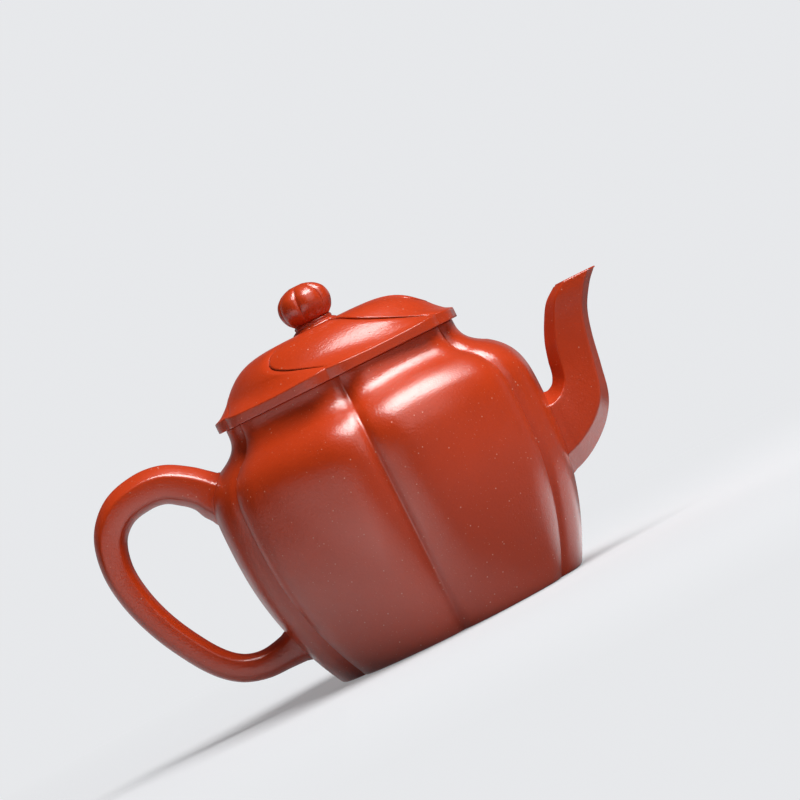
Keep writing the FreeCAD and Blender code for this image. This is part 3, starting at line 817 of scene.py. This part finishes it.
def make_knob():
    """Round knob with six soft lobes, like a small gourd."""
    rise = KNOB_TOP - COLLAR_TOP
    shares = [(0, 0.68), (0.17, 0.89), (0.44, 1), (0.7, 0.92), (0.87, 0.7), (0.96, 0.45), (1, 0.26)]
    side = smooth_run([(KNOB_RADIUS * wide, COLLAR_TOP + rise * high) for high, wide in shares], steps=7)
    profile = [(VENT_RADIUS, COLLAR_TOP), (3.5, COLLAR_TOP)] + [tuple(point) for point in side]
    profile += [(1.5, KNOB_TOP - 0.02), (VENT_RADIUS, KNOB_TOP - 0.15), (VENT_RADIUS, COLLAR_TOP)]
    at = levels(profile)

    def place(turn, up):
        radius, z = at(up)
        high = min(max((z - COLLAR_TOP) / (0.6 * rise), 0), 1)
        depth = (0.25 + 1.05 * high * high * (3 - 2 * high)) * min(1, radius / 5.5)
        return lobed(radius, z, turn, depth if radius > 1.3 else 0, 3.0, KNOB_TURN)

    piece("knob_gourd", skin(LOBES * 32, len(profile) - 1, place), "lid", ["knob"], CLAYS, sharp=60)


# Studio: in metres, with the floor's colours as looked at, as a bounce of light and in reflections; the last
# two are painted light and shade, pale and glowing on the front left and under the spout, dark or grey
# elsewhere

PALE = (0.8, 0.81, 0.83)
PAPER = (0.5, 0.506, 0.52)
# GREY is the floor's painted reflection colour; SHADE is painted shade, the floor's bounce colour away from
# its painted light side
GREY = (0.36, 0.36, 0.36)
SHADE = (0.05, 0.05, 0.05)
FLOOR_SIZE = 40
FLOOR_DROP = 0.00002
# Place of a floor patch that glows pale in reflections, a painted reflection on the spout's underside
UNDER_SPOUT = (0.075, 0.025, 0)
EYE = Vector((0.0108, -1.2, 0.070))
TARGET = Vector((0.0108, 0, 0.0568))
CAMERA_UP = Vector((0.446, 0, 0.895))


def softbox(name, place, target, size, watts, long_axis=(0, 0, 1)):
    """A soft rectangular light, its height along an axis as near as its aim allows."""
    light = bpy.data.lights.new(name, "AREA")
    light.shape = "RECTANGLE"
    light.size, light.size_y = size
    light.energy = watts
    back = (Vector(place) - Vector(target)).normalized()
    side = Vector(long_axis).cross(back).normalized()
    aim = Matrix((side, back.cross(side), back)).transposed().to_4x4()
    thing = bpy.data.objects.new(name, light)
    thing.visible_camera = False
    thing.matrix_world = Matrix.Translation(place) @ aim
    bpy.context.scene.collection.objects.link(thing)
    return thing


def looked_at(tree, share):
    """1 where the camera looks, a share of it in reflections and through glass, and 0 for light on things."""
    path = node(tree, "ShaderNodeLightPath").outputs
    mirrored = maths(tree, "MAXIMUM", path["Is Glossy Ray"], path["Is Transmission Ray"])
    return maths(tree, "MAXIMUM", path["Is Camera Ray"], maths(tree, "MULTIPLY", mirrored, share))


def make_floor():
    """Plain pale floor that keeps the pot's shadow and fades into the background further out. Its bounce and
    reflection colours are painted light and shade: pale and glowing on its front left and under the spout,
    dark elsewhere.
    """
    bm = bmesh.new()
    bmesh.ops.create_grid(bm, x_segments=1, y_segments=1, size=FLOOR_SIZE)
    bmesh.ops.translate(bm, verts=bm.verts[:], vec=(0, 0, -FLOOR_DROP))
    mesh = bpy.data.meshes.new("floor")
    bm.to_mesh(mesh)
    bm.free()
    floor = bpy.data.objects.new("floor", mesh)
    material = bpy.data.materials.new("pale_paper")
    material.use_nodes = True
    tree = material.node_tree
    shader = tree.nodes["Principled BSDF"]
    shader.inputs["Roughness"].default_value = 0.9
    shader.inputs["Specular IOR Level"].default_value = 0.1
    glow = node(tree, "ShaderNodeEmission", Strength=1.0)
    glow.inputs["Color"].default_value = (*PALE, 1)
    spot = node(tree, "ShaderNodeTexCoord").outputs["Object"]
    away = node(tree, "ShaderNodeVectorMath", operation="LENGTH")
    tree.links.new(spot, away.inputs[0])
    from_spout = node(tree, "ShaderNodeVectorMath", operation="DISTANCE")
    from_spout.inputs[1].default_value = UNDER_SPOUT
    tree.links.new(spot, from_spout.inputs[0])
    across = node(tree, "ShaderNodeSeparateXYZ")
    tree.links.new(spot, across.inputs["Vector"])
    # Painted light: the floor's front left and a patch under the spout are painted pale as a bounce of light
    # and glow pale in reflections; elsewhere the bounce is painted shade and reflections see grey
    sideways = ranged(tree, across.outputs["X"], -0.01, 0.03, 1.0, 0.1)
    forward = ranged(tree, across.outputs["Y"], -0.05, 0.05, 1.0, 0.3)
    glow_under_spout = ranged(tree, from_spout.outputs["Value"], 0.04, 0.06, 1.0, 0.0)
    painted_light_side = maths(tree, "MAXIMUM", maths(tree, "MULTIPLY", sideways, forward), glow_under_spout)
    path = node(tree, "ShaderNodeLightPath").outputs
    paper = tinted(tree, path["Is Glossy Ray"], GREY, tinted(tree, painted_light_side, SHADE, PALE))
    paper = tinted(tree, path["Is Camera Ray"], paper, PAPER)
    tree.links.new(paper, shader.inputs["Base Color"])
    faded = ranged(tree, away.outputs["Value"], 0.07, 0.3, 0.3, 1.0)
    seen = maths(tree, "MULTIPLY", looked_at(tree, painted_light_side), faded)
    blend = node(tree, "ShaderNodeMixShader")
    tree.links.new(seen, blend.inputs["Fac"])
    tree.links.new(shader.outputs["BSDF"], blend.inputs[1])
    tree.links.new(glow.outputs["Emission"], blend.inputs[2])
    tree.links.new(blend.outputs["Shader"], tree.nodes["Material Output"].inputs["Surface"])
    mesh.materials.append(material)
    bpy.context.scene.collection.objects.link(floor)


def make_world():
    """A pale backdrop where it is looked at, and a dim even light elsewhere."""
    world = bpy.data.worlds.new("studio")
    world.use_nodes = True
    bpy.context.scene.world = world
    tree = world.node_tree
    dim = tree.nodes["Background"]
    dim.inputs["Color"].default_value = (0.86, 0.92, 1.0, 1)
    dim.inputs["Strength"].default_value = 0.03
    pale = node(tree, "ShaderNodeBackground", Strength=1.0)
    pale.inputs["Color"].default_value = (*PALE, 1)
    towards = node(tree, "ShaderNodeSeparateXYZ")
    tree.links.new(node(tree, "ShaderNodeTexCoord").outputs["Generated"], towards.inputs["Vector"])
    low = ranged(tree, towards.outputs["Z"], 0.05, 0.3, 1.0, 0.0)
    behind = ranged(tree, towards.outputs["Y"], 0.3, 0.7, 0.0, 0.4)
    backdrop = maths(tree, "MULTIPLY", low, behind)
    blend = node(tree, "ShaderNodeMixShader")
    tree.links.new(looked_at(tree, backdrop), blend.inputs["Fac"])
    tree.links.new(dim.outputs["Background"], blend.inputs[1])
    tree.links.new(pale.outputs["Background"], blend.inputs[2])
    tree.links.new(blend.outputs["Shader"], tree.nodes["World Output"].inputs["Surface"])


def make_camera():
    """Level with the neck, in front, tipped about its own axis as the photograph is."""
    lens = bpy.data.cameras.new("camera")
    lens.lens = 216
    lens.sensor_width = 36
    lens.clip_end = 50
    camera = bpy.data.objects.new("camera", lens)
    forward = (TARGET - EYE).normalized()
    up = (CAMERA_UP - forward * CAMERA_UP.dot(forward)).normalized()
    right = forward.cross(up)
    turn = Matrix((right, up, -forward)).transposed().to_4x4()
    camera.matrix_world = Matrix.Translation(EYE) @ turn
    bpy.context.scene.collection.objects.link(camera)
    bpy.context.scene.camera = camera


make_walls()
make_base()
make_mouth()
make_spout()
make_handle()
make_rim()
make_dome()
make_flange()
make_collar()
make_knob()
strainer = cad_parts["spout_strainer"]
strainer.data.materials.clear()
strainer.data.materials.append(RAW)

make_floor()
make_world()
softbox("key", (0.49, -0.22, 1.2), (0, 0, 0.06), (0.64, 1.05), 32, (0.72, 0.69, -0.1))
softbox("front_fill", (0.75, -0.83, 0.7), (0, 0, 0.05), (0.9, 0.9), 2.8)
softbox("side_fill", (-0.16, -0.37, 0.064), (0.286, -0.37, 0.959), (0.3, 0.58), 0.28, (0, 1, 0))
back_fill = softbox("back_fill", (-0.75, 1.2, 0.55), (0, 0, 0.05), (1.0, 0.9), 9)
back_fill.visible_glossy = False
make_camera()
bpy.context.scene.view_settings.view_transform = "Standard"
